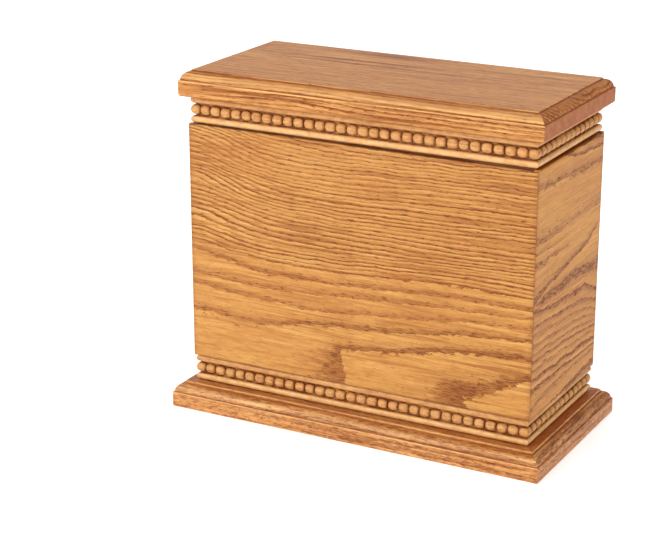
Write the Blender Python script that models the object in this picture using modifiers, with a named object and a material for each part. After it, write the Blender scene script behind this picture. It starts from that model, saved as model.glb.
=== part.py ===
# Cremation urn box in oak. A moulded plinth carries a mitred frame of bead moulding,
# four mitred wall boards stand on that, and the lid is a second frame of the same
# moulding under a moulded board. The lid lifts straight off.
#
# Units are metres. +X runs along the front to the right, +Y to the back, +Z up.
# The origin is in the middle of the footprint, on the plinth's underside.

import math

import bmesh
import bpy
from mathutils import Matrix

# Body, measured over the outside of the wall boards
BODY_LENGTH = 0.265
BODY_DEPTH = 0.119
WALL_HEIGHT = 0.174
WALL_THICKNESS = 0.019
WALL_ARRIS = 0.0006       # rounding of the outer upright and lower edges
SHADOW_HEIGHT = 0.0008    # slot along each wall's top outer edge, under the lid
SHADOW_DEPTH = 0.006      # how far that slot runs in from the wall's face
CORNER_LAND = 0.0035      # full height left at each corner, where the slot stops

# Plinth and lid boards, whose edges are moulded with the same cutter
PLINTH_THICKNESS = 0.019
PLINTH_OVERHANG = 0.0122  # past the wall faces, all round
PLINTH_STEP = 0.0018      # small upright step below the top face
PLINTH_ARRIS = 0.0010     # rounding of the lower outer edge
LID_THICKNESS = 0.0184
LID_OVERHANG = 0.005
LID_STEP = 0.0010
LID_ARRIS = 0.0018
OVOLO_RADIUS = 0.006      # quarter round below the step
QUIRK_WIDTH = 0.0011      # narrow shelf between quarter round and edge face

# Bead moulding, the same section below and above the walls
STRIP_HEIGHT = 0.019
BASE_STRIP_SETBACK = 0.0005   # beads behind the wall faces, lower frame
LID_STRIP_SETBACK = 0.0008    # beads behind the wall faces, lid frame
FILLET_SETBACK = 0.0007       # rounded fillets behind the beads
BEAD_DIAMETER = 0.0075
BEAD_PITCH = 0.0082           # wished spacing, rounded to whole beads on each side
BEAD_NECK_DIAMETER = 0.0046   # between two beads
BEAD_GROOVE = 0.0006          # between beads and fillets
CHANNEL_LIFT = 0.0004         # channel floor in front of the beads' axis

# Lip under the lid frame that drops inside the walls
LIP_DEPTH = 0.003
LIP_WIDTH = 0.0045
LIP_CLEARANCE = 0.0005

# Gap left at every glued or resting joint
JOINT_GAP = 0.0003

# Roundness of the solids
ARC_STEPS = 6
BEAD_SIDES = 8
BEAD_STEPS = 4

# Reach of a cutter past what it cuts
CUTTER_REACH = 0.004

# Heights of the joints, from the ground up
BASE_STRIP_Z = PLINTH_THICKNESS + JOINT_GAP
WALL_Z = BASE_STRIP_Z + STRIP_HEIGHT + JOINT_GAP
LID_Z = WALL_Z + WALL_HEIGHT + JOINT_GAP
LID_BOARD_RISE = STRIP_HEIGHT + JOINT_GAP

# The four sides: name, length of the side, distance of its face from the middle, turn
SIDES = (
    ("front", BODY_LENGTH, BODY_DEPTH / 2, 0.0),
    ("right", BODY_DEPTH, BODY_LENGTH / 2, math.pi / 2),
    ("back", BODY_LENGTH, BODY_DEPTH / 2, math.pi),
    ("left", BODY_DEPTH, BODY_LENGTH / 2, -math.pi / 2),
)


def oak(name, colour, roughness):
    """A plain varnished oak for one piece."""
    material = bpy.data.materials.new(name)
    material.use_nodes = True
    shader = material.node_tree.nodes["Principled BSDF"]
    shader.inputs["Base Color"].default_value = (*colour, 1.0)
    shader.inputs["Roughness"].default_value = roughness
    shader.inputs["Metallic"].default_value = 0.0
    material.diffuse_color = (*colour, 1.0)
    return material


def mesh_from(name, bm):
    """Turn finished bmesh work into a mesh, smooth where it is round."""
    mesh = bpy.data.meshes.new(name)
    bm.to_mesh(mesh)
    bm.free()
    mesh.shade_smooth()
    mesh.set_sharp_from_angle(angle=math.radians(40))
    return mesh


def add_object(name, mesh, collection, parent, location=(0.0, 0.0, 0.0), turn=0.0):
    """Place a mesh as an object, turned about the vertical."""
    piece = bpy.data.objects.new(name, mesh)
    collection.objects.link(piece)
    piece.parent = parent
    piece.location = location
    piece.rotation_euler = (0.0, 0.0, turn)
    return piece


def add_empty(name, collection, parent, height=0.0):
    """A group handle at a height on the vertical axis."""
    handle = bpy.data.objects.new(name, None)
    collection.objects.link(handle)
    handle.parent = parent
    handle.location.z = height
    return handle


def box_bmesh(low, high):
    """A box between two corners, from the cube primitive."""
    size = [top - bottom for bottom, top in zip(low, high)]
    centre = [(top + bottom) / 2 for bottom, top in zip(low, high)]
    bm = bmesh.new()
    bmesh.ops.create_cube(
        bm, size=1.0, matrix=Matrix.Translation(centre) @ Matrix.Diagonal((*size, 1.0))
    )
    return bm


def cut_with(piece, cutter, operation):
    """Leave an exact Boolean on the piece and tuck the cutter away."""
    cutter.parent = piece
    cutter.hide_render = True
    cutter.display_type = "WIRE"
    boolean = piece.modifiers.new(cutter.name, "BOOLEAN")
    boolean.operation = operation
    boolean.solver = "EXACT"
    boolean.object = cutter


def mitre(piece, length, depth, low_z, high_z, cutters):
    """Cut both ends of a side piece to 45 degrees, half a joint gap short."""
    half = length / 2
    short = JOINT_GAP / 2 * math.sqrt(2)
    bm = box_bmesh(
        (-half, -CUTTER_REACH, low_z - CUTTER_REACH),
        (half, depth + CUTTER_REACH, high_z + CUTTER_REACH),
    )
    for vertex in bm.verts:
        vertex.co.x = math.copysign(half - vertex.co.y - short, vertex.co.x)
    wedge = add_object(piece.name + "_mitre", mesh_from("mitre", bm), cutters, None)
    cut_with(piece, wedge, "INTERSECT")


def arc(centre, radius, start, end, steps=ARC_STEPS):
    """Points on an arc, ends included, angles in degrees."""
    points = []
    for step in range(steps + 1):
        angle = math.radians(start + (end - start) * step / steps)
        points.append((centre[0] + radius * math.cos(angle), centre[1] + radius * math.sin(angle)))
    return points


def moulded_section(thickness, step, arris):
    """Edge section of a board, as (inset from the edge, height), bottom to top."""
    face_top = thickness - step - OVOLO_RADIUS
    section = arc((arris, arris), arris, 270, 180)
    section.append((0.0, face_top))
    section += arc((QUIRK_WIDTH + OVOLO_RADIUS, face_top), OVOLO_RADIUS, 180, 90)
    section.append((QUIRK_WIDTH + OVOLO_RADIUS, thickness))
    return section


def moulded_board(name, overhang, section, material, collection, parent, height):
    """A board with the moulded edge on all four sides, raised ring by ring."""
    half_x = BODY_LENGTH / 2 + overhang
    half_y = BODY_DEPTH / 2 + overhang
    thickness = section[-1][1]
    bm = box_bmesh((-half_x, -half_y, 0.0), (half_x, half_y, thickness))
    bm.faces.ensure_lookup_table()
    top = max(bm.faces, key=lambda face: face.calc_center_median().z)
    for vertex in bm.verts:
        place_on_ring(vertex, half_x, half_y, section[1 if vertex in top.verts else 0])
    for ring in section[2:]:
        top = bmesh.ops.extrude_discrete_faces(bm, faces=[top])["faces"][0]
        for vertex in top.verts:
            place_on_ring(vertex, half_x, half_y, ring)
    board = add_object(name, mesh_from(name, bm), collection, parent, (0.0, 0.0, height))
    board.data.materials.append(material)
    return board


def place_on_ring(vertex, half_x, half_y, ring):
    """Move a corner of a ring to its inset and height."""
    inset, height = ring
    vertex.co.x = math.copysign(half_x - inset, vertex.co.x)
    vertex.co.y = math.copysign(half_y - inset, vertex.co.y)
    vertex.co.z = height


def wall_board(side, material, collection, cutters, parent):
    """One mitred wall, its face outwards at local y = 0, its foot at local z = 0."""
    side_name, length, face, turn = side
    half = length / 2
    bm = box_bmesh((-half, 0.0, 0.0), (half, WALL_THICKNESS, WALL_HEIGHT))
    tiny = JOINT_GAP / 10
    eased = [
        edge for edge in bm.edges
        if all(vertex.co.y < tiny for vertex in edge.verts)
        and any(vertex.co.z < tiny for vertex in edge.verts)
    ]
    bmesh.ops.bevel(
        bm, geom=eased, offset=WALL_ARRIS, segments=ARC_STEPS // 2, profile=0.5, affect="EDGES"
    )
    location = (face * math.sin(turn), -face * math.cos(turn), WALL_Z)
    wall = add_object("wall_" + side_name, mesh_from("wall", bm), collection, parent, location, turn)
    wall.data.materials.append(material)

    slot_half = half - CORNER_LAND
    slot = box_bmesh(
        (-slot_half, -CUTTER_REACH, WALL_HEIGHT - SHADOW_HEIGHT),
        (slot_half, SHADOW_DEPTH, WALL_HEIGHT + CUTTER_REACH),
    )
    slot_cutter = add_object(wall.name + "_slot", mesh_from("slot", slot), cutters, None)
    cut_with(wall, slot_cutter, "DIFFERENCE")
    mitre(wall, length, WALL_THICKNESS, 0.0, WALL_HEIGHT, cutters)
    return wall


def strip_section(setback, lip_depth):
    """Section of the bead moulding without its beads, as (depth, height)."""
    fillet_height = (STRIP_HEIGHT - BEAD_DIAMETER) / 2 - BEAD_GROOVE
    radius = fillet_height / 2
    fillet_centre = setback + FILLET_SETBACK + radius
    floor = setback + BEAD_DIAMETER / 2 - CHANNEL_LIFT
    section = arc((fillet_centre, radius), radius, 270, 90)
    section.append((max(floor, fillet_centre + JOINT_GAP), fillet_height))
    section.append((max(floor, fillet_centre + JOINT_GAP), STRIP_HEIGHT - fillet_height))
    section += arc((fillet_centre, STRIP_HEIGHT - radius), radius, 270, 90)
    if lip_depth > 0.0:
        lip_face = WALL_THICKNESS + LIP_CLEARANCE
        section.append((lip_face + LIP_WIDTH, STRIP_HEIGHT))
        section.append((lip_face + LIP_WIDTH, -lip_depth))
        section.append((lip_face, -lip_depth))
        section.append((lip_face, 0.0))
    else:
        section.append((WALL_THICKNESS, STRIP_HEIGHT))
        section.append((WALL_THICKNESS, 0.0))
    return section


def extruded_section(name, section, length, collection):
    """A section in Y and Z run along X, made as a filled curve and turned into a mesh."""
    curve = bpy.data.curves.new(name, "CURVE")
    curve.dimensions = "2D"
    curve.fill_mode = "BOTH"
    curve.extrude = length / 2
    spline = curve.splines.new("POLY")
    spline.points.add(len(section) - 1)
    for point, (depth, height) in zip(spline.points, section):
        point.co = (depth, height, 0.0, 1.0)
    spline.use_cyclic_u = True
    guide = bpy.data.objects.new(name, curve)
    collection.objects.link(guide)
    bpy.context.view_layer.update()
    filled = bpy.data.meshes.new_from_object(guide.evaluated_get(bpy.context.evaluated_depsgraph_get()))
    bm = bmesh.new()
    bm.from_mesh(filled)
    bmesh.ops.remove_doubles(bm, verts=bm.verts, dist=0.000001)
    # The curve's X, Y and Z become the piece's Y, Z and X.
    bm.transform(Matrix(((0, 0, 1, 0), (1, 0, 0, 0), (0, 1, 0, 0), (0, 0, 0, 1))))
    bmesh.ops.recalc_face_normals(bm, faces=bm.faces)
    bpy.data.objects.remove(guide)
    bpy.data.curves.remove(curve)
    bpy.data.meshes.remove(filled)
    return mesh_from(name, bm)


def bead_row(name, axis_length, collection):
    """A turned row of beads about the vertical, with a bead centred on each end."""
    gaps = max(1, round(axis_length / BEAD_PITCH))
    pitch = axis_length / gaps
    neck = BEAD_NECK_DIAMETER / 2
    swell = BEAD_DIAMETER / 2 - neck
    points = [(0.0, 0.0, (axis_length + pitch) / 2)]
    for bead in range(gaps + 1):
        centre = axis_length / 2 - bead * pitch
        first = 0 if bead == 0 else 1
        for step in range(first, BEAD_STEPS + 1):
            angle = math.pi * (step / BEAD_STEPS - 0.5)
            points.append((neck + swell * math.cos(angle), 0.0, centre - pitch / 2 * math.sin(angle)))
    points.append((0.0, 0.0, -(axis_length + pitch) / 2))
    mesh = bpy.data.meshes.new(name)
    mesh.from_pydata(points, [(i, i + 1) for i in range(len(points) - 1)], [])
    row = add_object(name, mesh, collection, None)
    turned = row.modifiers.new("turned", "SCREW")
    turned.angle = math.tau
    turned.steps = BEAD_SIDES
    turned.render_steps = BEAD_SIDES
    turned.use_merge_vertices = True
    turned.merge_threshold = 0.00001
    return row


def bead_strip(side, prefix, setback, lip_depth, material, collection, cutters, parent, height):
    """One mitred length of bead moulding, its foot at local z = 0."""
    side_name, length, face, turn = side
    name = prefix + side_name
    section = strip_section(setback, lip_depth)
    mesh = extruded_section(name, section, length, cutters)
    location = (face * math.sin(turn), -face * math.cos(turn), height)
    strip = add_object(name, mesh, collection, parent, location, turn)
    strip.data.materials.append(material)

    axis_depth = setback + BEAD_DIAMETER / 2
    beads = bead_row(name + "_beads", length - 2 * axis_depth, cutters)
    beads.location = (0.0, axis_depth, STRIP_HEIGHT / 2)
    beads.rotation_euler = (0.0, math.pi / 2, 0.0)
    cut_with(strip, beads, "UNION")
    inner = max(depth for depth, _ in section)
    mitre(strip, length, inner, -lip_depth, STRIP_HEIGHT, cutters)
    return strip


def build_urn():
    """Clear the scene and build every piece."""
    for leftover in list(bpy.data.objects):
        bpy.data.objects.remove(leftover)
    pieces = bpy.data.collections.new("cremation_urn_box")
    cutters = bpy.data.collections.new("cutters")
    bpy.context.scene.collection.children.link(pieces)
    bpy.context.scene.collection.children.link(cutters)

    urn = add_empty("urn", pieces, None)
    lid = add_empty("lid", pieces, urn, LID_Z)

    moulded_board(
        "plinth", PLINTH_OVERHANG, moulded_section(PLINTH_THICKNESS, PLINTH_STEP, PLINTH_ARRIS),
        oak("plinth_oak", (0.56, 0.25, 0.08), 0.38), pieces, urn, 0.0,
    )
    for side in SIDES:
        bead_strip(
            side, "base_bead_", BASE_STRIP_SETBACK, 0.0,
            oak("base_bead_oak_" + side[0], (0.62, 0.33, 0.13), 0.42), pieces, cutters, urn, BASE_STRIP_Z,
        )
        wall_board(
            side, oak("wall_oak_" + side[0], (0.66, 0.33, 0.11), 0.36), pieces, cutters, urn,
        )
        bead_strip(
            side, "lid_bead_", LID_STRIP_SETBACK, LIP_DEPTH,
            oak("lid_bead_oak_" + side[0], (0.62, 0.33, 0.13), 0.42), pieces, cutters, lid, 0.0,
        )
    moulded_board(
        "lid_board", LID_OVERHANG, moulded_section(LID_THICKNESS, LID_STEP, LID_ARRIS),
        oak("lid_oak", (0.60, 0.28, 0.10), 0.34), pieces, lid, LID_BOARD_RISE,
    )


build_urn()
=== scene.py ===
import math
import random

import bmesh
import bpy
from mathutils import Matrix, Vector, noise


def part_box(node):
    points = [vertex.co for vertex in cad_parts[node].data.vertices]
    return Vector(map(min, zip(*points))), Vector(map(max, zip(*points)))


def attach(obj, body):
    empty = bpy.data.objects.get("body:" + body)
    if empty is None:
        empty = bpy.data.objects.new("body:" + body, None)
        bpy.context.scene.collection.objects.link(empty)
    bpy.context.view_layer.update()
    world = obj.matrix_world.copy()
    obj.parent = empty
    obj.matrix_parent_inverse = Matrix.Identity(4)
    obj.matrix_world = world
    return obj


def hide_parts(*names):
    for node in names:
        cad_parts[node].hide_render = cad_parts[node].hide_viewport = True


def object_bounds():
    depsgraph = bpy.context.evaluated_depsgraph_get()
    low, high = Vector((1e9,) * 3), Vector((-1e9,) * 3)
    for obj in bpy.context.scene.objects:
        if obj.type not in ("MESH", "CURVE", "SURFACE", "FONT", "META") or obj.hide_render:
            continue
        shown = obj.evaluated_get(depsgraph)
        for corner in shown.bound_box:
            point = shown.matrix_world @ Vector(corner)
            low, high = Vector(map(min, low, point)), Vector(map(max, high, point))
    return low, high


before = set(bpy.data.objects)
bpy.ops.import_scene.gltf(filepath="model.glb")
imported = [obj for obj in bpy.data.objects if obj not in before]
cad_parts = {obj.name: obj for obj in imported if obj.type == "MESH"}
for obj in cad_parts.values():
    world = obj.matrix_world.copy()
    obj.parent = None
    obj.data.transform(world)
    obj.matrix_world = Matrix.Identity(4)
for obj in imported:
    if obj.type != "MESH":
        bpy.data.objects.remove(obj)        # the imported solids, in metres, +Z up, the front faces -Y
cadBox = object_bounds()
print("frame loaded:", len(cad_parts), "nodes")

# Where the bodywork stands, read from the solids
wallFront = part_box("wall_front")
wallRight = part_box("wall_right")
bodyHalfX = wallRight[1].x
bodyHalfY = -wallFront[0].y
sideTurn = {"front": 0.0, "right": 90.0, "back": 180.0, "left": -90.0}


def sideLength(side):
    return 2 * (bodyHalfX if side in ("front", "back") else bodyHalfY)


def sidePlace(side, height):
    # each side has its own frame: x along the wall, y into the box, z up
    faceAway = bodyHalfY if side in ("front", "back") else bodyHalfX
    turn = Matrix.Rotation(math.radians(sideTurn[side]), 4, "Z")
    return turn @ Matrix.Translation((0.0, -faceAway, height))


# Small node helpers for the materials

def addNode(tree, kind, inputs=None, **settings):
    node = tree.nodes.new(kind)
    for name, value in settings.items():
        setattr(node, name, value)
    for name, value in (inputs or {}).items():
        if isinstance(value, bpy.types.NodeSocket):
            tree.links.new(value, node.inputs[name])
        else:
            node.inputs[name].default_value = value
    return node


def calc(tree, operation, *values, clamp=False):
    node = tree.nodes.new("ShaderNodeMath")
    node.operation = operation
    node.use_clamp = clamp
    for socket, value in zip(node.inputs, values):
        if isinstance(value, bpy.types.NodeSocket):
            tree.links.new(value, socket)
        else:
            socket.default_value = value
    return node.outputs[0]


def between(tree, value, low, high):
    # 0 on the low side, 1 on the high side, soft between them
    node = addNode(tree, "ShaderNodeMapRange", {"Value": value, "From Min": low, "From Max": high})
    node.interpolation_type = "SMOOTHSTEP"
    return node.outputs["Result"]


def stretched(tree, vector, scale, shift=(0.0, 0.0, 0.0)):
    node = addNode(tree, "ShaderNodeMapping", {"Vector": vector, "Scale": scale, "Location": shift})
    return node.outputs["Vector"]


def noiseAlong(tree, place, field, shift=(0.0, 0.0, 0.0)):
    # noise drawn out along the grain, which runs along x
    along, across, detail, roughness = field
    spread = stretched(tree, place, (along, across, across), shift)
    inputs = {"Vector": spread, "Scale": 1.0, "Detail": detail, "Roughness": roughness}
    return addNode(tree, "ShaderNodeTexNoise", inputs).outputs["Fac"]


def mixColour(tree, factor, first, second):
    node = tree.nodes.new("ShaderNodeMix")
    node.data_type = "RGBA"
    node.clamp_factor = True
    for socket, value in ((node.inputs[0], factor), (node.inputs[6], first), (node.inputs[7], second)):
        if isinstance(value, bpy.types.NodeSocket):
            tree.links.new(value, socket)
        elif isinstance(value, tuple):
            socket.default_value = (*value, 1.0)
        else:
            socket.default_value = value
    return node.outputs[2]


# Noise fields in the wood: steps per metre along the grain and across it, octaves, roughness
woodNoise = {
    "wander": (7.0, 24.0, 1.0, 0.5),        # bends whole rings
    "patch": (5.0, 30.0, 1.0, 0.5),         # where the figure fades
    "shake": (110.0, 250.0, 2.0, 0.6),      # wavy ring edges
    "rough": (330.0, 1500.0, 2.0, 0.6),     # ragged ring edges
    "streak": (32.0, 800.0, 3.0, 0.6),
    "fibre": (60.0, 2600.0, 2.0, 0.6),
    "pore": (150.0, 1300.0, 1.0, 0.5),
    "cloud": (9.0, 22.0, 2.0, 0.5),         # slow change of colour
}
cloudShift = (3.0, 1.0, 2.0)        # keeps the clouds apart from the other fields

# Soft marks: how often and how far they bend, in metres, and how ragged their edges are
markShape = {"bendScale": (16.0, 60.0, 60.0), "bend": (0.0, 0.008, 0.004), "fray": 0.9}

# Where each field begins to lay its colour on, and where it lays it on in full
woodTones = {
    "patch": (0.25, 0.6), "cloud": (0.3, 0.7), "mottle": (0.45, 0.62), "fibre": (0.35, 0.75),
    "broadDark": (0.5, 0.68), "broadLight": (0.48, 0.3),
    "streakDark": (0.5, 0.72), "streakLight": (0.5, 0.3),
    "pore": (0.0, 0.05), "mark": (1.0, 0.1), "stainAndPaintedLight": (0.35, 0.65),
}


def toned(tree, field, tone, strength):
    return calc(tree, "MULTIPLY", between(tree, field, *woodTones[tone]), strength)


def mitredPlace(tree, place, lead):
    # a frame with mitred corners: the grain turns at each diagonal
    x, y, z = addNode(tree, "ShaderNodeSeparateXYZ", {"Vector": place}).outputs
    ahead = calc(tree, "SUBTRACT", calc(tree, "ABSOLUTE", x), calc(tree, "ABSOLUTE", y))
    onEnd = calc(tree, "GREATER_THAN", ahead, lead)
    swapped = addNode(tree, "ShaderNodeCombineXYZ", {"X": y, "Y": x, "Z": z}).outputs["Vector"]
    turning = addNode(tree, "ShaderNodeMix", data_type="VECTOR")
    tree.links.new(onEnd, turning.inputs[0])
    tree.links.new(place, turning.inputs[4])
    tree.links.new(swapped, turning.inputs[5])
    return turning.outputs[1]


def pithRings(tree, look, place, seeded):
    # rings round a pith that runs along the board, bent here and there
    x, y, z = addNode(tree, "ShaderNodeSeparateXYZ", {"Vector": place}).outputs
    pithY, pithZ = look["pith"]
    wander = calc(tree, "SUBTRACT", noiseAlong(tree, seeded, woodNoise["wander"]), 0.5)
    wander = calc(tree, "MULTIPLY", wander, look["wander"])
    offY = calc(tree, "SUBTRACT", y, pithY)
    offZ = calc(tree, "ADD", calc(tree, "SUBTRACT", z, pithZ), wander)
    across = calc(tree, "ADD", calc(tree, "MULTIPLY", offY, offY), calc(tree, "MULTIPLY", offZ, offZ))
    away = calc(tree, "DIVIDE", calc(tree, "SQRT", across), look["reach"])
    return calc(tree, "MULTIPLY", calc(tree, "POWER", away, look["crowd"]), look["rings"])


def earlyBand(tree, phase, band):
    # open-pored early wood: sharp on the pith side, fading outwards
    ramp = addNode(tree, "ShaderNodeValToRGB", {"Fac": phase})
    ramp.color_ramp.interpolation = "EASE"
    stops = ramp.color_ramp.elements
    stops[0].position = 0.0
    stops[0].color = (0.0, 0.0, 0.0, 1.0)
    stops[1].position = 1.0
    stops[1].color = (0.0, 0.0, 0.0, 1.0)
    for position, value in band:
        stop = stops.new(position)
        stop.color = (value, value, value, 1.0)
    return ramp.outputs["Color"]


def softMarks(tree, look, place, seeded, fray):
    # soft dark streaks, each an ellipsoid with bent, frayed edges
    marked = 0.0
    if not look["marks"]:
        return marked
    spread = stretched(tree, seeded, markShape["bendScale"])
    bend = addNode(tree, "ShaderNodeTexNoise", {"Vector": spread, "Scale": 1.0}).outputs["Color"]
    inputs = {0: bend, 1: (0.5, 0.5, 0.5)}
    bend = addNode(tree, "ShaderNodeVectorMath", inputs, operation="SUBTRACT").outputs[0]
    inputs = {0: bend, 1: markShape["bend"], 2: place}
    bent = addNode(tree, "ShaderNodeVectorMath", inputs, operation="MULTIPLY_ADD").outputs[0]
    for spot, size, depth in look["marks"]:
        inputs = {"Vector": bent, "Location": spot, "Scale": size}
        local = addNode(tree, "ShaderNodeMapping", inputs, vector_type="TEXTURE").outputs["Vector"]
        far = addNode(tree, "ShaderNodeVectorMath", {0: local}, operation="LENGTH").outputs["Value"]
        far = calc(tree, "MULTIPLY_ADD", fray, markShape["fray"], far)
        marked = calc(tree, "MAXIMUM", marked, toned(tree, far, "mark", depth))
    return marked


def oakMaterial(name, look):
    material = bpy.data.materials.new(name)
    material.use_nodes = True
    tree = material.node_tree
    shader = tree.nodes["Principled BSDF"]
    place = addNode(tree, "ShaderNodeTexCoord").outputs["Object"]
    if look["mitre"]:
        place = mitredPlace(tree, place, look["mitre"])
    seeded = stretched(tree, place, (1.0, 1.0, 1.0), look["seed"])

    # how bold the figure is comes with the mesh, and on the walls so does the ring count
    bold = addNode(tree, "ShaderNodeAttribute", attribute_name="bold").outputs["Fac"]
    if look["drawn"]:
        rings = addNode(tree, "ShaderNodeAttribute", attribute_name="ring").outputs["Fac"]
    else:
        rings = pithRings(tree, look, place, seeded)
        bold = toned(tree, noiseAlong(tree, seeded, woodNoise["patch"]), "patch", bold)
    shake = calc(tree, "SUBTRACT", noiseAlong(tree, seeded, woodNoise["shake"]), 0.5)
    rings = calc(tree, "MULTIPLY_ADD", shake, look["shake"], rings)
    fray = calc(tree, "SUBTRACT", noiseAlong(tree, place, woodNoise["rough"]), 0.5)
    rings = calc(tree, "MULTIPLY_ADD", fray, look["ragged"], rings)

    # no two rings are equally bold
    count = addNode(tree, "ShaderNodeTexWhiteNoise", noise_dimensions="1D")
    tree.links.new(calc(tree, "FLOOR", rings), count.inputs["W"])
    varied = calc(tree, "MULTIPLY_ADD", count.outputs["Value"], look["ringSpread"], look["ringLeast"])
    bold = calc(tree, "MULTIPLY", bold, varied)
    early = calc(tree, "MULTIPLY", earlyBand(tree, calc(tree, "FRACT", rings), look["band"]), bold)
    marked = softMarks(tree, look, place, seeded, fray)

    streak = noiseAlong(tree, seeded, woodNoise["streak"])
    fibre = noiseAlong(tree, seeded, woodNoise["fibre"])
    cloud = noiseAlong(tree, seeded, woodNoise["cloud"], cloudShift)
    mottle = noiseAlong(tree, seeded, look["mottle"])
    broad = noiseAlong(tree, seeded, look["broad"])
    poreEdge = calc(tree, "MULTIPLY_ADD", early, -look["poreGain"], look["poreRare"])
    pores = calc(tree, "SUBTRACT", noiseAlong(tree, seeded, woodNoise["pore"]), poreEdge)
    pores = between(tree, pores, *woodTones["pore"])

    # stain and painted light come with the mesh too: stain and painted shade darken above 0, wear and painted
    # highlight lighten towards pale wood below 0
    stainAndPaintedLight = addNode(tree, "ShaderNodeAttribute", attribute_name="stainAndPaintedLight").outputs["Fac"]
    taken = toned(tree, noiseAlong(tree, seeded, look["stainAndLightField"]), "stainAndPaintedLight", look["stainAndLightPatch"])
    stainAndPaintedLight = calc(tree, "MULTIPLY", stainAndPaintedLight, calc(tree, "ADD", taken, 1.0 - look["stainAndLightPatch"] / 2))

    # the colours go on one over the other
    darkLines = calc(tree, "MULTIPLY", bold, look["broadTint"])
    paleLines = calc(tree, "MULTIPLY", bold, look["glowTint"])
    wood = mixColour(tree, between(tree, cloud, *woodTones["cloud"]), look["pale"], look["warm"])
    layers = (
        (toned(tree, mottle, "mottle", look["mottleTint"]), "early"),
        (toned(tree, broad, "broadDark", darkLines), "early"),
        (toned(tree, broad, "broadLight", paleLines), "gleam"),
        (calc(tree, "MULTIPLY", early, look["earlyTint"]), "early"),
        (marked, "pore"),
        (toned(tree, streak, "streakDark", look["streakTint"]), "early"),
        (toned(tree, streak, "streakLight", look["gleamTint"]), "gleam"),
        (toned(tree, fibre, "fibre", look["fibreTint"]), "early"),
        (calc(tree, "MULTIPLY", pores, look["poreTint"]), "pore"),
        # stain with painted shade, then wear with painted highlight
        (calc(tree, "MULTIPLY", stainAndPaintedLight, look["stainAndShadeTint"], clamp=True), "stainAndPaintedLight"),
        (calc(tree, "MULTIPLY", stainAndPaintedLight, -1.0, clamp=True), "rubbedAndHighlight"),
    )
    for factor, colour in layers:
        wood = mixColour(tree, factor, wood, look[colour])
    tree.links.new(wood, shader.inputs["Base Color"])

    gloss = calc(tree, "MULTIPLY_ADD", streak, look["streakDull"], look["roughness"])
    gloss = calc(tree, "MULTIPLY_ADD", pores, look["poreDull"], gloss)
    tree.links.new(gloss, shader.inputs["Roughness"])
    shader.inputs["Specular IOR Level"].default_value = look["specular"]
    shader.inputs["Coat Weight"].default_value = look["coat"]
    shader.inputs["Coat Roughness"].default_value = look["coatRoughness"]
    relief = calc(tree, "MULTIPLY", fibre, look["fibreRelief"])
    relief = calc(tree, "MULTIPLY_ADD", pores, -look["poreRelief"], relief)
    bumpInputs = {"Height": relief, "Strength": look["relief"], "Distance": look["reliefDepth"]}
    bump = addNode(tree, "ShaderNodeBump", bumpInputs)
    tree.links.new(bump.outputs["Normal"], shader.inputs["Normal"])
    return material


# What every oak surface here shares; noise fields are given as in woodNoise
oakBase = {
    "seed": (0.0, 0.0, 0.0),
    "drawn": False,              # the ring count comes with the mesh, instead of from a pith
    "mitre": 0.0,                # length less depth, halved, where the grain turns at the corners
    "marks": (),                 # soft dark streaks: place, half size, depth
    "pith": (0.09, 0.0),         # where the tree's centre runs, in y and z
    "reach": 0.1, "rings": 14.0, "crowd": 1.6,   # rings within that reach, closer together further out
    "wander": 0.012, "shake": 0.45, "ragged": 0.3,
    "ringLeast": 0.55, "ringSpread": 0.6,        # the faintest ring, and how much bolder others are
    "band": ((0.03, 1.0), (0.24, 0.9), (0.48, 0.3), (0.8, 0.02)),
    "pale": (0.56, 0.265, 0.060), "warm": (0.50, 0.215, 0.044), "gleam": (0.75, 0.43, 0.125),
    "early": (0.23, 0.060, 0.006), "pore": (0.14, 0.032, 0.003),
    # the stain colour also paints shade, the rubbed colour also paints highlight
    "stainAndPaintedLight": (0.15, 0.038, 0.008), "rubbedAndHighlight": (0.80, 0.45, 0.16),
    "earlyTint": 0.95, "streakTint": 0.5, "gleamTint": 0.28,
    "fibreTint": 0.3, "poreTint": 0.75, "stainAndShadeTint": 0.9,
    "mottleTint": 0.2, "mottle": (110.0, 420.0, 3.0, 0.65),
    "broadTint": 0.25, "glowTint": 0.5, "broad": (13.0, 380.0, 2.0, 0.5),   # broad dark and pale lines
    "poreRare": 0.70, "poreGain": 0.20,
    "stainAndLightPatch": 0.4, "stainAndLightField": (60.0, 160.0, 2.0, 0.6),    # how unevenly the wood took the stain, and how unevenly the painted light lies
    "specular": 0.3, "roughness": 0.42, "streakDull": 0.12, "poreDull": 0.25,
    "coat": 0.08, "coatRoughness": 0.28,
    "relief": 0.5, "reliefDepth": 0.0002, "fibreRelief": 0.25, "poreRelief": 0.6,
}

sharpAngle = 50.0       # edges that turn more than this stay crisp


def finishPiece(mesh, name, material, nodes, place=Matrix()):
    # one object from a mesh, dressed and tied to the frame
    mesh.shade_smooth()
    mesh.set_sharp_from_angle(angle=math.radians(sharpAngle))
    piece = bpy.data.objects.new(name, mesh)
    bpy.context.scene.collection.objects.link(piece)
    piece.matrix_world = place
    mesh.materials.append(material)
    weighted = piece.modifiers.new("cleanShading", "WEIGHTED_NORMAL")
    weighted.keep_sharp = True
    bpy.context.view_layer.update()
    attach(piece, "root")
    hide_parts(*nodes)


def rise(value, low, high):
    # 0 on the low side, 1 on the high side, soft between them
    part = min(1.0, max(0.0, (value - low) / (high - low)))
    return part * part * (3 - 2 * part)


def arc(centre, radius, start, end, steps):
    points = []
    for step in range(steps + 1):
        angle = math.radians(start + (end - start) * step / steps)
        points.append((centre[0] + radius * math.cos(angle), centre[1] + radius * math.sin(angle)))
    return points


# Boards with a moulded edge on all four sides

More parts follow.
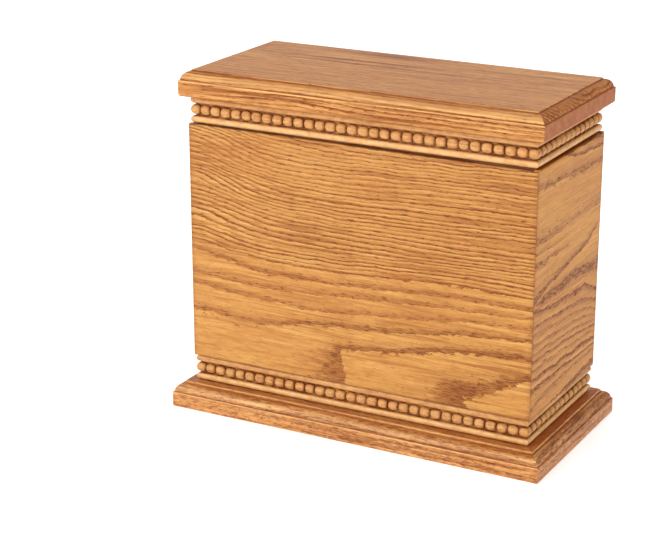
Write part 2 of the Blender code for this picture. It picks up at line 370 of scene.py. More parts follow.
boardShape = {
    "ovolo": 0.006, "quirk": 0.0011,         # the cutter's quarter round, and the shelf outside it
    "faceEase": 0.0005, "topEase": 0.0004,   # sanded edges
    "curveSteps": 22, "easeSteps": 6, "faceSteps": 3, "arrisSteps": 4,
    "cornerRadius": 0.0007, "cornerSteps": 4,
    "runStep": 0.004,            # spacing of the points along an edge
    "underside": 0.002, "faceLip": 0.0011,   # plain strips beside the eased edges
    "topStrip": 0.0012, "topField": 0.012,   # two rows of points on the flat top, inside its arris
    "creaseWidth": 0.0005,       # width of the painted shade line in each inner corner
    # painted shade in the inner corners: its strength, at its two edges, and how fast it fades up the round
    "creaseShade": 1.0, "creaseShadeEdge": (0.1, 0.6), "creaseShadeFade": 0.7,
    "faceRubAndHighlight": 0.55,             # wear and a painted highlight on the face's upper edge
    # shares of the quarter round where the painted highlight begins, is full, eases off and ends,
    # then where the painted shadow below the step begins and is full
    "paintedLightSpan": (0.05, 0.2167, 0.5, 0.75), "stepShadowSpan": (0.625, 0.9375),
    "endCurve": 0.5,             # how much of the ends' stain their quarter round takes
}


def boardSection(thickness, shape):
    # (inset, height, stain) from the underside up to the flat top
    quirk, ovolo, crease = shape["quirk"], shape["ovolo"], shape["creaseWidth"]
    outerCrease, upperCrease = shape["creaseShadeEdge"]
    faceTop = thickness - shape["stepDrop"] - ovolo
    ease = shape["lowerEase"]
    section = [(ease + shape["underside"], 0.0, 0.0)]
    section += [(i, h, 0.0) for i, h in arc((ease, ease), ease, 270, 180, shape["easeSteps"])]
    ease = shape["faceEase"]
    section.append((0.0, faceTop - shape["faceLip"], 0.0))
    faceArris = arc((ease, faceTop - ease), ease, 180, 90, shape["faceSteps"])
    # wear with a painted highlight on the face's upper arris
    section += [(i, h, -shape["faceRubAndHighlight"]) for i, h in faceArris]
    # painted shade in the inner corner at the quirk
    section.append((quirk - crease, faceTop, outerCrease))
    section.append((quirk, faceTop, shape["creaseShade"]))
    steps = shape["curveSteps"]
    curve = arc((quirk + ovolo, faceTop), ovolo, 180, 90, steps)
    highlightStart, highlightFull, endFull, highlightEnd = shape["paintedLightSpan"]
    for step, (inset, height) in enumerate(curve[1:-1], 1):
        # painted shade lies in the corners and below the step, with a painted highlight on the round between
        # them
        share = step / steps
        highlight = shape["highlight"] * rise(share, highlightStart, highlightFull) * rise(share, highlightEnd, endFull)
        stepShadow = shape["stepShadow"] * rise(share, *shape["stepShadowSpan"])
        creaseShading = max(0.0, shape["creaseShade"] - step * shape["creaseShadeFade"])
        section.append((inset, height, creaseShading - highlight + stepShadow))
    stepInset = quirk + ovolo
    # painted shade in the inner corner below the step
    section.append((stepInset, curve[-1][1], shape["creaseShade"]))
    section.append((stepInset, curve[-1][1] + crease, upperCrease))
    ease = shape["topEase"]
    arris = arc((stepInset + ease, thickness - ease), ease, 180, 90, shape["arrisSteps"])
    # wear with a painted highlight on the top arris
    section += [(i, h, -shape["arrisWearAndHighlight"]) for i, h in arris]
    section.append((stepInset + ease + shape["topStrip"], thickness, 0.0))
    section.append((stepInset + ease + shape["topField"], thickness, 0.0))
    return section


def ringPoints(halfX, halfY, inset, shape):
    # a rectangle with eased corners, counter-clockwise from the front left
    radius, steps = shape["cornerRadius"], shape["cornerSteps"]
    outX, outY = halfX - inset, halfY - inset
    corners = ((-1, -1, 180), (1, -1, 270), (1, 1, 0), (-1, 1, 90))
    bends = []
    for signX, signY, start in corners:
        centre = (signX * (outX - radius), signY * (outY - radius))
        bends.append(arc(centre, radius, start, start + 90, steps))
    points = []
    for index, bend in enumerate(bends):
        points += bend
        begin, goal = bend[-1], bends[(index + 1) % len(bends)][0]
        span = 2 * halfX if index % 2 == 0 else 2 * halfY
        runs = max(2, round(span / shape["runStep"]))
        for run in range(1, runs):
            part = run / runs
            across, along = goal[0] - begin[0], goal[1] - begin[1]
            points.append((begin[0] + across * part, begin[1] + along * part))
    return points


def mouldedBoard(name, node, shape, material):
    low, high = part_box(node)
    halfX, halfY = high.x, high.y
    bm = bmesh.new()
    # stain and painted light for each point
    paintedLightAndStainLayer = bm.verts.layers.float.new("stainAndPaintedLight")
    boldLayer = bm.verts.layers.float.new("bold")
    frontFace, frontOvolo, endFace, endOvolo, flatTop = shape["bold"]
    stepInset = shape["quirk"] + shape["ovolo"]
    faceEnd = shape["quirk"] - shape["creaseWidth"] / 2
    topStart = stepInset + shape["topEase"] / 2
    fieldStart = stepInset + shape["topEase"] + shape["topStrip"] / 2
    rows = []
    for inset, height, stainAndPaintedLight in boardSection(high.z - low.z, shape):
        row = []
        for px, py in ringPoints(halfX, halfY, inset, shape):
            vertex = bm.verts.new((px, py, low.z + height))
            vertex[paintedLightAndStainLayer] = stainAndPaintedLight
            onEnd = abs(px) - halfX > abs(py) - halfY
            if onEnd and inset < stepInset:
                taken = shape["endStain"] * (1.0 if inset < faceEnd else shape["endCurve"])
                vertex[paintedLightAndStainLayer] = max(stainAndPaintedLight, 0.0) + taken
            # painted shade over the flat top
            if inset > fieldStart:
                vertex[paintedLightAndStainLayer] = shape["topShade"][onEnd]
            if inset > topStart:
                vertex[boldLayer] = flatTop
            elif inset > shape["quirk"]:
                vertex[boldLayer] = endOvolo if onEnd else frontOvolo
            else:
                vertex[boldLayer] = endFace if onEnd else frontFace
            row.append(vertex)
        rows.append(row)
    for below, above in zip(rows, rows[1:]):
        for index in range(len(below)):
            following = (index + 1) % len(below)
            bm.faces.new((below[index], below[following], above[following], above[index]))
    bm.faces.new(reversed(rows[0]))
    bm.faces.new(rows[-1])
    mesh = bpy.data.meshes.new(name)
    bm.to_mesh(mesh)
    bm.free()
    finishPiece(mesh, name, material, [node])


# bold is how strong the figure is: on the front's face and ovolo, on the ends' face and ovolo,
# on the flat top; topShade is painted shade on the flat top beside the front and back, then beside the ends
plinth = dict(
    boardShape, stepDrop=0.0018, lowerEase=0.0010, bold=(0.62, 0.8, 0.9, 1.0, 0.6),
    # painted shade on the top, wear with a painted highlight on the top arris, a painted highlight and a
    # painted shadow on the ovolo
    topShade=(0.36, 1.0), endStain=0.16, highlight=0.12, stepShadow=0.4, arrisWearAndHighlight=0.35,
    look=dict(
        oakBase, pith=(-0.05, -0.10), seed=(1.0, 8.0, 2.0), mitre=0.073,
        pale=(0.69, 0.330, 0.100), warm=(0.60, 0.243, 0.058), gleam=(0.90, 0.52, 0.20),
        early=(0.24, 0.062, 0.010), stainAndPaintedLight=(0.34, 0.078, 0.009),
        broadTint=0.6, glowTint=0.95, fibreTint=0.45, poreRare=0.65,
        mottleTint=0.75, mottle=(220.0, 650.0, 3.0, 0.65),
        marks=(
            ((0.012, 0.140, 0.0155), (0.013, 0.006, 0.006), 0.85),
            ((-0.03, 0.138, 0.017), (0.012, 0.0035, 0.006), 0.6),
        ),
    ),
)
mouldedBoard("plinthBoard", "plinth", plinth, oakMaterial("plinthOak", plinth["look"]))

lid = dict(
    boardShape, stepDrop=0.0010, lowerEase=0.0018, bold=(1.2, 1.2, 0.3, 2.0, 0.55),
    # painted shade on the top, a painted highlight and a painted shadow on the ovolo
    topShade=(0.14, 0.14), endStain=0.9, highlight=0.35, stepShadow=0.5, arrisWearAndHighlight=0.0,
    look=dict(
        oakBase, pith=(0.03, 0.35), seed=(5.0, 3.0, 8.0), rings=20.0,
        pale=(0.64, 0.295, 0.082), warm=(0.58, 0.245, 0.062), gleam=(0.88, 0.50, 0.15),
        early=(0.25, 0.066, 0.011), stainAndPaintedLight=(0.33, 0.085, 0.016),
        broadTint=1.0, glowTint=0.8, broad=(8.0, 430.0, 2.0, 0.5), mottleTint=0.35,
        specular=0.2, roughness=0.45, coat=0.04,
        marks=(
            ((-0.03, 0.047, 0.25), (0.065, 0.0095, 0.02), 0.8),
            ((-0.05, 0.024, 0.25), (0.12, 0.0032, 0.02), 0.95),
            ((0.02, 0.013, 0.25), (0.13, 0.0026, 0.02), 0.8),
            ((0.08, 0.035, 0.25), (0.07, 0.0040, 0.02), 0.75),
        ),
    ),
)
mouldedBoard("lidBoard", "lid_board", lid, oakMaterial("lidOak", lid["look"]))
print("moulded boards built")


# Mitred lengths: walls and bead mouldings

mitreGap = 0.00004          # a hairline at each corner
mergeDistance = 0.0000001   # points closer than this to the cut lie on it


def mitredLength(name, length, stations, sectionAt, grain=None):
    # a tube of sections along x, then both ends cut at 45 degrees and closed
    bm = bmesh.new()
    # stain and painted light from the sections
    paintedLightAndStainLayer = bm.verts.layers.float.new("stainAndPaintedLight")
    ringLayer = bm.verts.layers.float.new("ring")
    boldLayer = bm.verts.layers.float.new("bold")
    rows = []
    for x in stations:
        row = []
        for depth, height, stainAndPaintedLight in sectionAt(x):
            vertex = bm.verts.new((x, depth, height))
            vertex[paintedLightAndStainLayer] = stainAndPaintedLight
            if grain:
                along = min(max(x + length / 2, 0.0), length)
                vertex[ringLayer] = grain["rule"](grain, along, height)
                vertex[boldLayer] = boldness(grain, along, height)
            row.append(vertex)
        rows.append(row)
    for left, right in zip(rows, rows[1:]):
        for index in range(len(left)):
            following = (index + 1) % len(left)
            bm.faces.new((left[index], right[index], right[following], left[following]))
    for end in (-1, 1):
        cut = bmesh.ops.bisect_plane(
            bm, geom=bm.verts[:] + bm.edges[:] + bm.faces[:], dist=mergeDistance,
            plane_co=(end * (length / 2 - mitreGap), 0.0, 0.0), plane_no=(end, 1.0, 0.0), clear_outer=True,
        )
        rim = [item for item in cut["geom_cut"] if isinstance(item, bmesh.types.BMEdge)]
        bmesh.ops.edgeloop_fill(bm, edges=rim)
    bmesh.ops.recalc_face_normals(bm, faces=bm.faces)
    mesh = bpy.data.meshes.new(name)
    bm.to_mesh(mesh)
    bm.free()
    return mesh


def boldness(grain, x, height):
    # how strongly the rings show, with soft plain or busy patches
    bold = grain["bold"]
    for patchX, patchHeight, wide, tall, change in grain["patches"]:
        bold += change * math.exp(-((x - patchX) / wide) ** 2 - ((height - patchHeight) / tall) ** 2)
    return max(0.0, bold)


def alongStations(levels, share):
    # a soft curve through heights given at even stations
    spot = share * (len(levels) - 1)
    first = min(int(spot), len(levels) - 2)
    part = spot - first
    before, here = levels[max(first - 1, 0)], levels[first]
    after, beyond = levels[first + 1], levels[min(first + 2, len(levels) - 1)]
    start, end = (after - before) / 2, (beyond - here) / 2      # slopes at both stations
    climb = after - here
    curve = 3 * climb - 2 * start - end + part * (start + end - 2 * climb)
    return here + part * (start + part * curve)


# Shared by the walls whose growth lines are drawn
drawnShape = {
    "fineWave": 2.3, "fineShare": 0.5,              # a finer wave on top of the grain's own
    "unevenAlong": 7.0, "unevenAcross": 75.0,       # how fast the spacing of the close rings changes
    "narrowMost": 3.0,                              # how far a wide band's early wood is narrowed
    "lateRise": 6,                                  # how suddenly the rest of the band follows
    "leastWidth": 0.0001,                           # of a band, in metres
}


def drawnRings(grain, x, height):
    # growth lines drawn from the listed heights, with close rings above the first of them;
    # the count grows away from the line where the trunk's centre passes
    shape = drawnShape
    along = x / grain["length"]
    wave = Vector((x * grain["waveAlong"], height * grain["waveAcross"], grain["waveSeed"]))
    height += grain["wave"] * (noise.noise(wave) + shape["fineShare"] * noise.noise(wave * shape["fineWave"]))
    rises = []      # height above each line, or the distance from its nose
    for levels, nose, squash in grain["lines"]:
        above = height - alongStations(levels, along) / 1000
        if nose:
            tip = alongStations(levels, nose / grain["length"]) / 1000
            ahead = nose + grain["noseLean"] * max(0.0, tip - height) - x
            if ahead > 0:
                above = math.hypot(ahead * squash, max(0.0, height - tip))
        rises.append(above)
    if rises[0] > 0:
        fan = math.exp(-(along / grain["fanWidth"]) ** 2) * rise(rises[0], 0.0, grain["fanTall"])
        spot = Vector((x * shape["unevenAlong"], height * shape["unevenAcross"], grain["waveSeed"]))
        close = (rises[0] - grain["fanLift"] * fan) / grain["close"]
        return max(0.0, close + grain["uneven"] * noise.noise(spot))
    centre = grain["centreLine"]
    for count, (upper, lower) in enumerate(zip(rises, rises[1:])):
        if lower > 0:
            width = max(lower - upper, shape["leastWidth"])
            share = lower / width
            if count >= centre:
                share = 1 - share
            narrow = min(shape["narrowMost"], max(1.0, width / grain["bandWidth"]))
            for smudgeX, smudgeHeight, wide, tall, spread in grain["smudges"]:
                near = math.exp(-((x - smudgeX) / wide) ** 2 - ((height - smudgeHeight) / tall) ** 2)
                narrow += (spread - narrow) * near
            late = grain["lateWood"]
            share = late * (1 - (1 - share) ** narrow) + (1 - late) * share ** shape["lateRise"]
            return share - count - 1 if count < centre else share + count - 2 * centre
    below = -rises[-1] / grain["last"]
    count = len(rises) - 1
    return -below - count if count < centre else below + count - 2 * centre


def archedRings(grain, x, height):
    # rings of a leaning trunk: arches where the board just touches one, lines beyond
    share = x / grain["length"]
    depth = grain["depth"] + grain["lean"] * share + grain["plunge"] * share ** grain["plungeLate"]
    away = math.hypot(depth, height - grain["centre"] - grain["drift"] * share) * 1000
    radii = grain["radii"]
    for count, (inner, outer) in enumerate(zip(radii, radii[1:])):
        if away < outer:
            return count + (away - inner) / (outer - inner)
    return len(radii) - 1 + (away - radii[-1]) / grain["close"]


frontWall = {
    "rule": drawnRings, "length": 0.265,
    "look": dict(
        oakBase, drawn=True,
        pale=(0.61, 0.302, 0.068), warm=(0.55, 0.247, 0.050),
        early=(0.28, 0.080, 0.006), stainAndPaintedLight=(0.16, 0.037, 0.004),
        broadTint=0.7, glowTint=0.5, streakTint=0.36, gleamTint=0.22, fibreTint=0.46, mottleTint=0.26,
    ),
    # each growth line: heights in mm at six even stations from left to right, then how far
    # along it starts in a nose, if it does, and how fast the band before the nose fades
    "lines": (
        ((90.0, 83.5, 82.5, 83.5, 85.0, 86.0), None, 0),
        ((83.0, 73.0, 72.0, 75.0, 77.5, 77.0), None, 0),
        ((64.0, 61.0, 63.0, 67.0, 69.5, 72.0), None, 0),
        ((56.5, 52.0, 51.0, 55.5, 61.5, 64.0), None, 0),
        ((36.5, 33.5, 41.0, 44.5, 52.0, 55.5), None, 0),
        ((27.0, 26.0, 25.0, 30.0, 39.0, 42.5), 0.121, 0.75),
        ((9.0, 9.0, 9.0, 5.0, 4.0, 28.0), 0.2205, 0.40),
    ),
    # the line where the trunk's centre passes, here below them all
    "centreLine": 7, "bandWidth": 0.0075, "lateWood": 0.84,
    # where a band spreads into a soft smudge: place along, height, its width and height, how far
    "smudges": (
        (0.105, 0.010, 0.030, 0.020, 1.4),
        (0.215, 0.014, 0.032, 0.022, 0.6),
        (0.245, 0.028, 0.030, 0.012, 1.2),
    ),
    "noseLean": 0.25,                    # how far a nose leans back below its line
    "close": 0.0029, "uneven": 1.1,      # spacing of the close rings above the lines, and its change
    "fanLift": 0.010, "fanWidth": 0.20, "fanTall": 0.05,     # how they spread at the left end
    "last": 0.05,                        # width of the band below the last line
    "wave": 0.0008, "waveAlong": 45.0, "waveAcross": 90.0, "waveSeed": 2.0,
    "bold": 1.25,
    # plain and busy patches: place along, height, width, height of the patch, change
    "patches": (
        (0.030, 0.012, 0.070, 0.018, -0.95), (0.165, 0.008, 0.035, 0.018, -0.85),
        (0.250, 0.008, 0.020, 0.010, -0.80), (0.110, 0.010, 0.025, 0.022, 0.15),
        (0.207, 0.012, 0.030, 0.016, 0.15), (0.060, 0.110, 0.060, 0.020, -0.15),
        (0.100, 0.160, 0.080, 0.020, -0.20), (0.130, 0.140, 0.300, 0.050, -0.05),
    ),
}
rightWall = {
    "rule": drawnRings, "length": 0.119,
    "look": dict(
        oakBase, drawn=True, seed=(4.0, 2.0, 1.0),
        pale=(0.61, 0.268, 0.042), warm=(0.54, 0.212, 0.030), gleam=(0.74, 0.38, 0.07),
        early=(0.30, 0.092, 0.010), stainAndPaintedLight=(0.22, 0.05, 0.008), specular=0.2,
    ),
    "lines": (
        ((190.0, 182.0, 173.0, 168.0, 166.0, 164.5), None, 0),
        ((159.5, 158.5, 157.0, 155.5, 154.0, 152.5), None, 0),
        ((122.0, 121.5, 121.0, 121.0, 121.5, 122.0), None, 0),
        ((115.0, 114.5, 114.0, 114.5, 116.0, 119.0), None, 0),
        ((108.0, 107.5, 107.0, 108.0, 111.0, 116.0), None, 0),
        ((80.3, 88.0, 91.5, 95.0, 99.0, 110.0), None, 0),
        ((80.0, 82.0, 82.0, 82.5, 80.5, 78.0), None, 0),
        ((79.7, 74.5, 73.0, 71.5, 69.5, 60.0), None, 0),
        ((68.0, 66.0, 64.0, 62.0, 59.0, 52.0), None, 0),
        ((61.5, 59.5, 58.0, 55.5, 52.0, 46.0), None, 0),
        ((54.0, 52.5, 51.0, 49.0, 46.0, 41.0), None, 0),
        ((48.5, 47.0, 45.0, 43.0, 40.5, 36.0), None, 0),
        ((43.5, 42.0, 40.5, 38.5, 36.0, 32.0), None, 0),
        ((37.0, 36.0, 35.0, 33.0, 31.0, 28.0), None, 0),
        ((30.0, 29.0, 28.0, 27.0, 26.0, 24.0), None, 0),
        ((23.5, 22.5, 21.5, 20.5, 19.5, 19.0), None, 0),
        ((9.0, 13.0, 15.0, 15.8, 16.0, 15.6), None, 0),
        ((-4.0, 0.0, 2.0, 4.0, 6.0, 7.6), None, 0),
    ),
    "centreLine": 6, "bandWidth": 0.0075, "lateWood": 0.84,
    "smudges": ((0.006, 0.083, 0.012, 0.008, 0.9),),
    "noseLean": 0.0, "close": 0.006, "uneven": 0.0, "last": 0.012,
    "fanLift": 0.0, "fanWidth": 0.2, "fanTall": 0.05,
    "wave": 0.0012, "waveAlong": 60.0, "waveAcross": 80.0, "waveSeed": 5.0,
    "bold": 1.3,
    "patches": (
        (0.075, 0.115, 0.035, 0.010, -1.1),
        (0.119, 0.115, 0.035, 0.006, -0.8),
        (0.020, 0.035, 0.080, 0.012, -0.2),
    ),
}
backWall = {
    "rule": archedRings, "length": 0.265, "look": dict(oakBase, drawn=True, seed=(9.0, 5.0, 3.0)),
    # the tree's centre: its height at the left end and change along the wall, its depth behind
    # the face and change along the wall, and a late plunge; radii of the rings are in mm
    "centre": 0.050, "drift": 0.020, "depth": 0.036, "lean": -0.012, "plunge": -0.010, "plungeLate": 7,
    "radii": (14.0, 20.0, 26.0, 31.0, 37.0, 42.0, 48.0, 53.0, 58.0, 62.0, 66.5, 71.0, 75.0, 79.0, 82.5),
    "close": 0.0033, "bold": 0.8,
    "patches": ((0.08, 0.05, 0.07, 0.02, -0.4),),
}
leftWall = {
    "rule": archedRings, "length": 0.119, "look": dict(oakBase, drawn=True, seed=(2.0, 7.0, 5.0)),
    "centre": 0.118, "drift": -0.006, "depth": 0.041, "lean": -0.010, "plunge": -0.006, "plungeLate": 7,
    "radii": (18.0, 25.0, 32.0, 38.0, 43.0, 48.0, 52.5, 57.0, 61.0, 65.0, 70.0, 74.0, 79.0, 83.0, 87.0),
    "close": 0.0035, "bold": 0.8,
    "patches": ((0.06, 0.03, 0.06, 0.02, -0.4),),
}

wallShape = {
    "thickness": 0.019,
    "mesh": 0.0016,              # spacing of the points that carry the figure
    "cornerRadius": 0.0006, "cornerSteps": 6,    # eased upright corner
    "edgeEase": 0.0008, "easeSteps": 4,          # eased top and bottom edges
    "footStart": 0.0024, "slotStart": 0.0016,    # depth where the flat foot and the slot begin
    "slotDepth": 0.0045, "slotLean": 0.0001,     # shadow slot under the lid, and how far its end leans
    "land": 0.0035,              # where the slot stops, before each corner
    "landStep": 0.0002,          # how quickly it stops
    "landDrop": 0.00005,         # how far the wall stays below the lid there
    "slotLeft": {"front": 0.0004, "right": 0.0008, "back": 0.0006, "left": 0.0006},
    "slotRight": {"front": 0.0010, "right": 0.0010, "back": 0.0006, "left": 0.0006},
    # painted shade along the upright corners, then from the foot up into the painted shadow of the slot
    "rimShade": 0.35, "rimWidth": {"front": 0.0018, "right": 0.0045, "back": 0.003, "left": 0.003},
    "footShade": 0.6, "footEaseShade": 0.3, "topEaseShade": 0.1, "slotEdgeShadow": 0.8, "slotShadow": 1.0,
}


def wallMesh(side, shape, height, grain):
    length = sideLength(side)
    radius, ease, half = shape["cornerRadius"], shape["edgeEase"], length / 2
    slotEnd = half - shape["land"]
    slotDepth, thickness = shape["slotDepth"], shape["thickness"]
    stations = []
    for step in range(shape["cornerSteps"] + 1):
        angle = math.radians(90 * step / shape["cornerSteps"])
        stations.append(-half + radius * (1 - math.cos(angle)))
    stations += [-slotEnd - shape["landStep"], -slotEnd]
    ends = [-x for x in reversed(stations)]
    inner = round(2 * slotEnd / shape["mesh"])
    stations += [-slotEnd + 2 * slotEnd * run / inner for run in range(1, inner)]
    stations += ends

    def sectionAt(x):
        fromEnd = half - abs(x)
        drop = 0.0
        if fromEnd < radius:
            drop = radius - math.sqrt(max(0.0, radius ** 2 - (radius - fromEnd) ** 2))
        share = (x + half) / length
        slot = shape["slotLeft"][side] * (1 - share) + shape["slotRight"][side] * share
        if abs(x) > slotEnd + shape["landStep"] / 2:
            slot = shape["landDrop"]
        top = height - slot
        # painted shade along the upright corners
        rim = shape["rimShade"] * (1 - rise(fromEnd, 0.0, shape["rimWidth"][side]))
        foot = arc((ease, ease), ease, 270, 180, shape["easeSteps"])
        head = arc((ease, top - ease), ease, 180, 90, shape["easeSteps"])
        runs = round(height / shape["mesh"])
        # painted shade at the foot, and painted shadow in the slot under the lid
        points = [(drop + shape["footStart"], 0.0, shape["footShade"])]
        points += [(drop + d, h, shape["footEaseShade"]) for d, h in foot]
        points += [(drop, ease + (top - 2 * ease) * run / runs, rim) for run in range(1, runs)]
        points += [(drop + d, h, shape["topEaseShade"]) for d, h in head]
        points.append((drop + shape["slotStart"], top, shape["slotEdgeShadow"]))
        points.append((slotDepth, top, shape["slotShadow"]))
        points.append((slotDepth + shape["slotLean"], height, shape["slotShadow"]))
        points.append((thickness, height, 0.0))
        points.append((thickness, 0.0, 0.0))
        return points

    return mitredLength("wall_" + side, length, stations, sectionAt, grain)


walls = {"front": frontWall, "right": rightWall, "back": backWall, "left": leftWall}
wallHeight = wallFront[1].z - wallFront[0].z
for side, wall in walls.items():
    mesh = wallMesh(side, wallShape, wallHeight, wall)
    place = sidePlace(side, wallFront[0].z)
    material = oakMaterial("wallOak_" + side, wall["look"])
    finishPiece(mesh, "wallBoard_" + side, material, ["wall_" + side], place)
print("walls built")


beadShape = {
    "height": 0.019,
    "beadDiameter": 0.0075, "neckDiameter": 0.0033, "pitch": 0.0082,
    "fullness": 2.1,             # how square-shouldered a bead is
    "notchStart": 0.56,          # where along a half bead the painted shade of the notch begins
    "shadeStart": 0.0010, "shadeFull": 0.0028,   # depth behind the bead tops where painted shade begins, and where it is full
    "lowFilletLight": 0.45, "highFilletLight": -0.05,        # painted highlight on the two fillets, or painted shade if below 0
    "paintedLightSpan": (0.00135, 0.00045),             # depth behind a fillet where the painted highlight ends, and where it is full
    "groove": 0.0006, "channelLift": 0.0004, "filletBack": 0.0005,
    "channelLeast": 0.0003,      # the channel lies at least this far behind the fillets' middle
    "inside": 0.019,             # depth of the frame's inner face
    "lipDepth": 0.003, "lipWidth": 0.0045, "lipClearance": 0.0005,
    "overrun": 0.001,            # past the corner, for the mitre to cut
    "beadSteps": 14, "beadArc": 16, "filletArc": 10,
    "lengthJitter": 0.03, "girthJitter": 0.015,    # no two pressed beads are quite alike
    "look": dict(
        oakBase, pith=(0.3, 0.1),
        pale=(0.70, 0.370, 0.130), warm=(0.61, 0.285, 0.085),
        stainAndPaintedLight=(0.185, 0.043, 0.004), rubbedAndHighlight=(0.80, 0.47, 0.20),
        earlyTint=0.2, streakTint=0.4, poreTint=0.4, mottleTint=0.35, mottle=(250.0, 500.0, 3.0, 0.65),
        stainAndLightPatch=0.8, stainAndLightField=(180.0, 180.0, 2.0, 0.6),
        specular=0.28, coat=0.05,
    ),
}


def beadMesh(side, setback, hasLip, shape, seed):
    length = sideLength(side)
    height = shape["height"]
    radius = shape["beadDiameter"] / 2
    neck = shape["neckDiameter"] / 2
    axis = setback + radius
    filletHeight = (height - shape["beadDiameter"]) / 2 - shape["groove"]
    filletRadius = filletHeight / 2
    filletFront = setback + shape["filletBack"]
    filletCentre = filletFront + filletRadius
    channel = max(axis - shape["channelLift"], filletCentre + shape["channelLeast"])
    draw = random.Random(seed)

    # bead edges along the axis, a bead centred on each mitre
    axisLength = length - 2 * axis
    gaps = round(axisLength / shape["pitch"])
    pitch = axisLength / gaps
    edges = [-(axisLength + pitch) / 2 + pitch * index for index in range(gaps + 2)]
    for index in range(2, gaps):
        edges[index] += pitch * draw.uniform(-1, 1) * shape["lengthJitter"]
    inner = [radius * (1 - draw.uniform(0, 1) * shape["girthJitter"]) for _ in range(gaps - 1)]
    girths = [radius] + inner + [radius]
    stations, swell, notches = [], [], []
    for bead in range(gaps + 1):
        first, last = edges[bead], edges[bead + 1]
        for step in range(1 if bead else 0, shape["beadSteps"] + 1):
            t = math.sin(math.pi * (step / shape["beadSteps"] - 0.5))
            full = math.sqrt(max(0.0, 1 - abs(t) ** shape["fullness"]))
            stations.append((first + last) / 2 + t * (last - first) / 2)
            swell.append(neck + (girths[bead] - neck) * full)
            notches.append(rise(abs(t), shape["notchStart"], 1.0))
    # straight on past the last beads, so that the mitre cuts through
    overrun = length / 2 + shape["overrun"]
    stations = [-overrun] + stations + [overrun]
    girthAt = dict(zip(stations, [neck] + swell + [neck]))
    notchAt = dict(zip(stations, [1.0] + notches + [1.0]))

    # painted shade, deeper behind the bead tops
    def shadedByDepth(depth):
        return rise(depth - setback, shape["shadeStart"], shape["shadeFull"])

    # a fillet row with a painted highlight, or painted shade where it is below 0
    def litFilletRow(points, highlight):
        return [(d, h, shadedByDepth(d) - highlight * rise(d - filletFront, *shape["paintedLightSpan"])) for d, h in points]

    # two rounded fillets, each with the channel between it and the beads
    lowArc = arc((filletCentre, filletRadius), filletRadius, 270, 90, shape["filletArc"])
    highArc = arc((filletCentre, height - filletRadius), filletRadius, 270, 90, shape["filletArc"])
    lowFillet = litFilletRow(lowArc + [(channel, filletHeight)], shape["lowFilletLight"])
    highFillet = litFilletRow([(channel, height - filletHeight)] + highArc, shape["highFilletLight"])
    lipFace = shape["inside"] + shape["lipClearance"]
    lipBack = lipFace + shape["lipWidth"]
    if hasLip:
        lipFoot = -shape["lipDepth"]
        back = [(lipBack, height), (lipBack, lipFoot), (lipFace, lipFoot), (lipFace, 0.0)]
    else:
        back = [(shape["inside"], height), (shape["inside"], 0.0)]
    back = [(depth, level, 0.0) for depth, level in back]      # bare wood inside

    def sectionAt(x):
        girth = girthAt[x]
        spread = math.degrees(math.acos((axis - channel) / girth))
        bead = arc((axis, height / 2), girth, 180 + spread, 180 - spread, shape["beadArc"])
        # painted shade deep in the channels and in the notches between beads
        middle = [(depth, level, max(shadedByDepth(depth), notchAt[x])) for depth, level in bead]
        return lowFillet + middle + highFillet + back

    return mitredLength("bead_" + side, length, stations, sectionAt)


beadOak = oakMaterial("beadOak", beadShape["look"])
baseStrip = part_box("base_bead_front")
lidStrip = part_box("lid_bead_front")
lidStripFoot = lidStrip[1].z - beadShape["height"]      # above the lip
# from the wall's plane back to the bead tops, height of the foot, whether it has a lip, random seed
strips = {
    "base": (baseStrip[0].y + bodyHalfY, baseStrip[0].z, False, 11),
    "lid": (lidStrip[0].y + bodyHalfY, lidStripFoot, True, 31),
}
for count, side in enumerate(sideTurn):
    for where, (setback, foot, hasLip, seed) in strips.items():
        mesh = beadMesh(side, setback, hasLip, beadShape, seed + count)
        name = where + "Moulding_" + side
        finishPiece(mesh, name, beadOak, [where + "_bead_" + side], sidePlace(side, foot))
print("bead mouldings built")


# Studio

studio = {
    "floorColour": (0.93, 0.93, 0.93), "floorRoughness": 0.9, "floorSize": 8.0,
    "worldColour": (1.0, 1.0, 1.0), "worldStrength": 0.38, "floorGlow": 0.42,
    "lamps": (
        # name, place, target, width, height, watts
        ("keySoftbox", (-1.2, -2.2, 1.25), (0.0, 0.0, 0.12), 1.9, 1.9, 63.5),
        ("topSoftbox", (0.0, 0.6, 1.9), (0.0, 0.0, 0.2), 1.6, 1.2, 12.0),
        ("backSoftbox", (-1.1, 2.3, 0.85), (0.0, 0.0, 0.25), 1.8, 1.0, 5.2),
        ("fillSoftbox", (2.2, -0.6, 1.0), (0.0, 0.0, 0.12), 0.9, 1.2, 17.0),
    ),
}
camera = {
    "azimuth": 27.65, "elevation": 19.2, "roll": 0.233,
    "place": (0.5655, -1.1403, 0.5323),
    "lens": 102.65, "shiftX": -0.0388, "shiftY": 0.0354, "clipStart": 0.01,
}

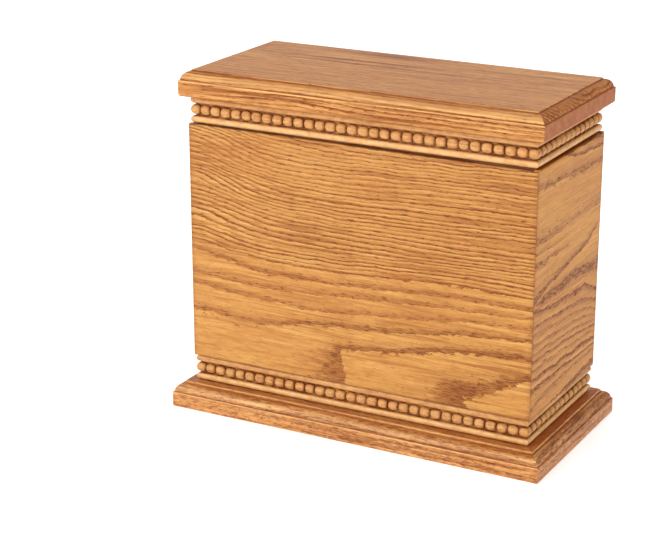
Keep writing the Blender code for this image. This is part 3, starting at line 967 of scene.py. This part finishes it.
floorMesh = bpy.data.meshes.new("floor")
floorBm = bmesh.new()
bmesh.ops.create_grid(floorBm, x_segments=1, y_segments=1, size=studio["floorSize"] / 2)
floorBm.to_mesh(floorMesh)
floorBm.free()
floor = bpy.data.objects.new("floor", floorMesh)
bpy.context.scene.collection.objects.link(floor)
floor.location.z = cadBox[0].z
floorPaint = bpy.data.materials.new("floorPaint")
floorPaint.use_nodes = True
floorShader = floorPaint.node_tree.nodes["Principled BSDF"]
floorShader.inputs["Base Color"].default_value = (*studio["floorColour"], 1.0)
floorShader.inputs["Roughness"].default_value = studio["floorRoughness"]
floorShader.inputs["Emission Color"].default_value = (*studio["worldColour"], 1.0)
floorShader.inputs["Emission Strength"].default_value = studio["floorGlow"]
floorMesh.materials.append(floorPaint)

world = bpy.data.worlds.new("studioWorld")
world.use_nodes = True
background = world.node_tree.nodes["Background"]
background.inputs["Color"].default_value = (*studio["worldColour"], 1.0)
background.inputs["Strength"].default_value = studio["worldStrength"]
bpy.context.scene.world = world

for name, place, target, wide, tall, watts in studio["lamps"]:
    lamp = bpy.data.lights.new(name, "AREA")
    lamp.shape = "RECTANGLE"
    lamp.size = wide
    lamp.size_y = tall
    lamp.energy = watts
    holder = bpy.data.objects.new(name, lamp)
    bpy.context.scene.collection.objects.link(holder)
    holder.location = place
    holder.rotation_euler = (Vector(target) - Vector(place)).to_track_quat("-Z", "Y").to_euler()

lensData = bpy.data.cameras.new("photoCamera")
lensData.lens = camera["lens"]
lensData.shift_x = camera["shiftX"]
lensData.shift_y = camera["shiftY"]
lensData.clip_start = camera["clipStart"]
photoCamera = bpy.data.objects.new("photoCamera", lensData)
bpy.context.scene.collection.objects.link(photoCamera)
turn = Matrix.Rotation(math.radians(camera["azimuth"]), 4, "Z")
tilt = Matrix.Rotation(math.radians(90.0 - camera["elevation"]), 4, "X")
roll = Matrix.Rotation(math.radians(camera["roll"]), 4, "Z")
photoCamera.matrix_world = Matrix.Translation(camera["place"]) @ turn @ tilt @ roll
bpy.context.scene.camera = photoCamera
bpy.context.scene.view_settings.view_transform = "Standard"
print("studio set")
